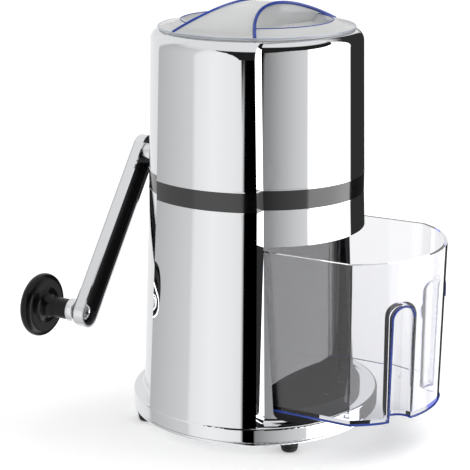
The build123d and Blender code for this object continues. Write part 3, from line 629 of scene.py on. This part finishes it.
class ICECRUSHER_OT_knob(bpy.types.Operator):
    """Turns the mushroom knob, its stem and its chromed collar"""

    bl_idname = "icecrusher.knob"
    bl_label = "Knob"

    def execute(self, context):
        settings = context.scene.ice_crusher
        low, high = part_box("knob")
        radius = (high[0] - low[0]) / 2
        centre = Vector(((high[0] + low[0]) / 2, low[1], (high[2] + low[2]) / 2))
        length = high[1] - low[1]
        face = length - DISC_THICKNESS
        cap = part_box("knob_cap")
        seat = (cap[1][0] - cap[0][0]) / 2 + 0.00002
        depth = cap[1][1] - cap[0][1]
        half = (length - face) / 2
        rim = [(radians(a), face + half + half * sin(radians(a))) for a in range(-90, 91, 9)]
        stem_radius, flare, stem_chamfer = 0.0062, 0.0058, 0.0005
        neck_foot = face * 0.62  # where the stem starts to flare
        neck_rise = face + 0.0006 - neck_foot
        neck = [radians(a) for a in range(0, 91, 15)]
        profile = [
            (PIN_BORE, 0.0, 0.0),
            (0.0058, 0.0, 0.0),
            (stem_radius, stem_chamfer, 0.0),
            *((stem_radius + flare * (1 - cos(a)), neck_foot + neck_rise * sin(a), 0.0) for a in neck),
            *((radius - half + half * cos(a), height, 0.0) for a, height in rim),
            (seat + 0.0006, length, 0.0),
            (seat, length - 0.0004, 0.0),
            (seat, length - depth, 0.0),
            (PIN_BORE, length - depth, 0.0),
            (PIN_BORE, 0.0, 0.0),
        ]
        knob = turned("knob_turned", profile, centre, (0, 1, 0))
        paint(knob, finish("knob_black_phenolic"))
        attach(knob, "knob")
        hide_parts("knob")
        paint(NODES["knob_cap"], finish("knob_black_phenolic"))

        low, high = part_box("knob_collar")
        wide = (high[0] - low[0]) / 2
        length = high[1] - low[1]
        line = wide - 0.0003  # the fine turned line near the collar's far end
        profile = [
            (PIN_BORE, 0.0, 0.0),
            (wide, 0.0, settings.collar_ease),
            (wide, length * 0.7, 0.0),
            (line, length * 0.73, 0.0),
            (line, length * 0.77, 0.0),
            (wide, length * 0.8, 0.0),
            (wide, length, settings.collar_ease * 0.5),
            (PIN_BORE, length, 0.0),
            (PIN_BORE, 0.0, 0.0),
        ]
        collar = turned("knob_collar_turned", profile, Vector((centre.x, low[1], centre.z)), (0, 1, 0))
        paint(collar, finish("chromed_abs"))
        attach(collar, "knob")
        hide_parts("knob_collar")
        return {"FINISHED"}


class ICECRUSHER_OT_works(bpy.types.Operator):
    """Gives the hopper, the bay, the blades, the combs, the bushes and the screws their finishes"""

    bl_idname = "icecrusher.works"
    bl_label = "Hopper, bay and blades"

    def execute(self, context):
        finishes = {
            "hopper": "pale_abs",
            # the bay's inside is near-black painted shade
            "drawer_bay": "black_lining",
            "front_bush": "acetal",
            "rear_bush": "acetal",
            "blade_spacers": "acetal",
        }
        steel = ("base_screws", "shell_screws", "comb_screws", "comb_left", "comb_right")
        blades = [node for node in NODES if node.startswith("rotor_blade")]
        if not blades:
            raise RuntimeError("the frame has no rotor blades")
        for node in (*steel, *blades):
            finishes[node] = "ground_stainless"
        for node, name in finishes.items():
            paint(NODES[node], finish(name))
        return {"FINISHED"}


# ---- stage ------------------------------------------------------------------------------------

# what the plating mirrors round the horizon: direction in degrees from +X, brightness
WALLS = (
    (0, 0.03),
    (20, 0.03),
    (26, 0.95),
    (88, 0.8),
    (94, 0.5),
    (142, 0.68),
    (146, 0.86),
    (165, 0.95),
    (185, 0.9),
    (195.3, 0.84),
    (195.9, 0.0),
    (207.5, 0.0),
    (208, 0.25),
    (222, 0.42),
    (240, 0.6),
    (257, 0.72),
    (258, 2.4),
    (308, 2.4),
    (321.5, 2.0),
    (323.5, 0.03),
    (359.9, 0.03),
)
# how far down the dark boom above the camera's side reaches, as a share of its height
BOOM = (
    (0, 0.0),
    (150, 0.0),
    (175, 0.25),
    (185, 0.5),
    (194, 1.0),
    (212, 0.8),
    (257, 0.65),
    (285, 0.45),
    (318, 0.1),
    (330, 0.0),
)
# how far the pale ceiling comes down behind the object, as a share of its height
CANOPY = ((0, 0.0), (8, 0.0), (13, 0.6), (62, 0.6), (75, 0.0))
CEILING = (36, 52)  # the pale ceiling fades in between these heights, in degrees up from the horizon
BOOM_TOP = (51, 47)  # the boom's upper edge, from clear to dark, in degrees
BOOM_FOOT = 50  # its lower edge where its reach is nil, in degrees
BOOM_REACH = 58  # how far down its full reach takes that edge, in degrees
BOOM_BLUR = 1.5  # half the softness of its lower edge, in degrees
FLOOR_LIFT = 0.26  # whitens the paper for the camera, on top of its lit colour
CAMERA_PLACE = (-0.7917, -0.4282, 0.3554)
CAMERA_AIM = (0.8424, 0.4711, -0.2617)
SENSOR = 36.0  # millimetres
FOCAL_PIXELS = 1547.55  # focal length in pixels of a frame 470 wide
LAMP_PLACE = (0.9, -0.9, 1.9)
LAMP_AIM = (0, 0, 0.1)
LAMP_SIZE = 1.6


class ICECRUSHER_OT_stage(bpy.types.Operator):
    """Sets the floor, the studio that the plating mirrors, the soft lamp and the camera"""

    bl_idname = "icecrusher.stage"
    bl_label = "Stage"

    def execute(self, context):
        settings = context.scene.ice_crusher
        scene = context.scene
        scene.view_settings.view_transform = "Standard"
        world = bpy.data.worlds.new("studio")
        scene.world = world
        world.use_nodes = True
        tree = world.node_tree
        tree.nodes.clear()
        smooth = {"interpolation_type": "SMOOTHSTEP"}
        coordinates = add_node(tree, "ShaderNodeTexCoord")
        axes = add_node(tree, "ShaderNodeSeparateXYZ", links={"Vector": coordinates.outputs["Generated"]})
        across = {0: axes.outputs["Y"], 1: axes.outputs["X"]}
        turn = add_node(tree, "ShaderNodeMath", {"operation": "ARCTAN2"}, across)
        share = add_node(tree, "ShaderNodeMath", {"operation": "DIVIDE"}, {0: turn.outputs[0]})
        share.inputs[1].default_value = 2 * pi
        wrapped = add_node(tree, "ShaderNodeMath", {"operation": "FRACT"}, {0: share.outputs[0]})
        walls = add_node(tree, "ShaderNodeValToRGB", links={"Fac": wrapped.outputs[0]})
        boom = add_node(tree, "ShaderNodeValToRGB", links={"Fac": wrapped.outputs[0]})
        canopy = add_node(tree, "ShaderNodeValToRGB", links={"Fac": wrapped.outputs[0]})
        for ramp, stops in ((walls, WALLS), (boom, BOOM), (canopy, CANOPY)):
            elements = ramp.color_ramp.elements
            elements.remove(elements[-1])
            for index, (angle, level) in enumerate(stops):
                stop = elements[0] if index == 0 else elements.new(angle / 360)
                stop.position = angle / 360
                stop.color = (level, level, level, 1.0)

        # the pale ceiling takes over high up, and lower down where the canopy hangs
        reach = add_node(
            tree, "ShaderNodeMath", {"operation": "ADD"}, {0: axes.outputs["Z"], 1: canopy.outputs["Color"]}
        )
        ceiling = add_node(tree, "ShaderNodeMapRange", smooth, {"Value": reach.outputs[0]})
        ceiling.inputs["From Min"].default_value = sin(radians(CEILING[0]))
        ceiling.inputs["From Max"].default_value = sin(radians(CEILING[1]))
        overhead = add_node(
            tree, "ShaderNodeMix", {"data_type": "RGBA"}, {0: ceiling.outputs[0], 6: walls.outputs["Color"]}
        )
        overhead.inputs[7].default_value = (0.8, 0.8, 0.8, 1.0)

        # the boom: dark between its lower edge, which its reach sets, and its upper edge
        rise = add_node(tree, "ShaderNodeMath", {"operation": "ARCSINE"}, {0: axes.outputs["Z"]})
        edge = add_node(tree, "ShaderNodeMath", {"operation": "MULTIPLY_ADD"}, {0: boom.outputs["Color"]})
        edge.inputs[1].default_value = radians(BOOM_REACH)
        edge.inputs[2].default_value = -radians(BOOM_FOOT)
        over = add_node(
            tree, "ShaderNodeMath", {"operation": "ADD"}, {0: rise.outputs[0], 1: edge.outputs[0]}
        )
        lower = add_node(tree, "ShaderNodeMapRange", smooth, {"Value": over.outputs[0]})
        lower.inputs["From Min"].default_value = -radians(BOOM_BLUR)
        lower.inputs["From Max"].default_value = radians(BOOM_BLUR)
        upper = add_node(tree, "ShaderNodeMapRange", smooth, {"Value": rise.outputs[0]})
        upper.inputs["From Min"].default_value = radians(BOOM_TOP[0])
        upper.inputs["From Max"].default_value = radians(BOOM_TOP[1])
        shade = add_node(
            tree, "ShaderNodeMath", {"operation": "MULTIPLY"}, {0: lower.outputs[0], 1: upper.outputs[0]}
        )
        mirrored_walls = add_node(
            tree, "ShaderNodeMix", {"data_type": "RGBA"}, {0: shade.outputs[0], 6: overhead.outputs[2]}
        )
        mirrored_walls.inputs[7].default_value = (0.015, 0.015, 0.015, 1.0)

        rays = add_node(tree, "ShaderNodeLightPath")
        mirrored = add_node(
            tree, "ShaderNodeBackground", links={"Color": mirrored_walls.outputs[2]}, Strength=1.0
        )
        soft = add_node(tree, "ShaderNodeBackground", Color=(0.8, 0.8, 0.8, 1.0), Strength=1.0)
        backdrop = add_node(tree, "ShaderNodeBackground", Color=(1.0, 1.0, 1.0, 1.0), Strength=1.0)
        lighting = add_node(
            tree,
            "ShaderNodeMixShader",
            links={0: rays.outputs["Is Glossy Ray"], 1: soft.outputs[0], 2: mirrored.outputs[0]},
        )
        seen = add_node(
            tree,
            "ShaderNodeMath",
            {"operation": "MAXIMUM"},
            {0: rays.outputs["Is Camera Ray"], 1: rays.outputs["Is Transmission Ray"]},
        )
        whole = add_node(
            tree,
            "ShaderNodeMixShader",
            links={0: seen.outputs[0], 1: lighting.outputs[0], 2: backdrop.outputs[0]},
        )
        add_node(tree, "ShaderNodeOutputWorld", links={"Surface": whole.outputs[0]})

        bm = bmesh.new()
        bmesh.ops.create_grid(bm, x_segments=8, y_segments=8, size=4.0)
        floor = finished(bm, "floor")
        paper, tree, surface = new_material("floor_paper")
        surface.inputs["Base Color"].default_value = settings.floor
        surface.inputs["Roughness"].default_value = 0.9
        surface.inputs["Specular IOR Level"].default_value = 0.0
        rays = add_node(tree, "ShaderNodeLightPath")
        surface.inputs["Emission Color"].default_value = (1.0, 1.0, 1.0, 1.0)
        shown = {0: rays.outputs["Is Camera Ray"]}
        lift = add_node(tree, "ShaderNodeMath", {"operation": "MULTIPLY"}, shown)
        lift.inputs[1].default_value = FLOOR_LIFT
        tree.links.new(lift.outputs[0], surface.inputs["Emission Strength"])
        paint(floor, paper)
        floor.visible_glossy = False

        lamp = bpy.data.lights.new("soft_lamp", "AREA")
        lamp.shape = "RECTANGLE"
        lamp.size = LAMP_SIZE
        lamp.size_y = LAMP_SIZE
        lamp.energy = settings.lamp_power
        soft_lamp = bpy.data.objects.new("soft_lamp", lamp)
        scene.collection.objects.link(soft_lamp)
        soft_lamp.location = LAMP_PLACE
        aim = Vector(LAMP_AIM) - soft_lamp.location
        soft_lamp.rotation_euler = aim.to_track_quat("-Z", "Y").to_euler()
        soft_lamp.visible_glossy = False

        lens = bpy.data.cameras.new("camera")
        lens.sensor_width = SENSOR
        lens.lens = FOCAL_PIXELS / 470 * SENSOR
        camera = bpy.data.objects.new("camera", lens)
        scene.collection.objects.link(camera)
        camera.location = CAMERA_PLACE
        camera.rotation_euler = Vector(CAMERA_AIM).to_track_quat("-Z", "Y").to_euler()
        scene.camera = camera
        return {"FINISHED"}


# ---- panel and registration -------------------------------------------------------------------

OPERATORS = (
    ICECRUSHER_OT_shells,
    ICECRUSHER_OT_band,
    ICECRUSHER_OT_feet,
    ICECRUSHER_OT_drawer,
    ICECRUSHER_OT_lid,
    ICECRUSHER_OT_crank,
    ICECRUSHER_OT_knob,
    ICECRUSHER_OT_works,
    ICECRUSHER_OT_stage,
)


class ICECRUSHER_PT_panel(bpy.types.Panel):
    """Sizes, colours and pieces of the ice crusher"""

    bl_idname = "ICECRUSHER_PT_panel"
    bl_label = "Ice Crusher"
    bl_space_type = "VIEW_3D"
    bl_region_type = "UI"
    bl_category = "Ice Crusher"

    def draw(self, context):
        for name in IceCrusherSettings.__annotations__:
            self.layout.prop(context.scene.ice_crusher, name)
        for operator in OPERATORS:
            self.layout.operator(operator.bl_idname)


CLASSES = (IceCrusherSettings, *OPERATORS, ICECRUSHER_PT_panel)


def register():
    for cls in CLASSES:
        bpy.utils.register_class(cls)
    bpy.types.Scene.ice_crusher = bpy.props.PointerProperty(type=IceCrusherSettings)


def unregister():
    del bpy.types.Scene.ice_crusher
    for cls in reversed(CLASSES):
        bpy.utils.unregister_class(cls)


def main():
    register()
    for operator in OPERATORS:
        group, name = operator.bl_idname.split(".")
        getattr(getattr(bpy.ops, group), name)()
    bpy.context.view_layer.update()


if __name__ == "__main__":
    main()
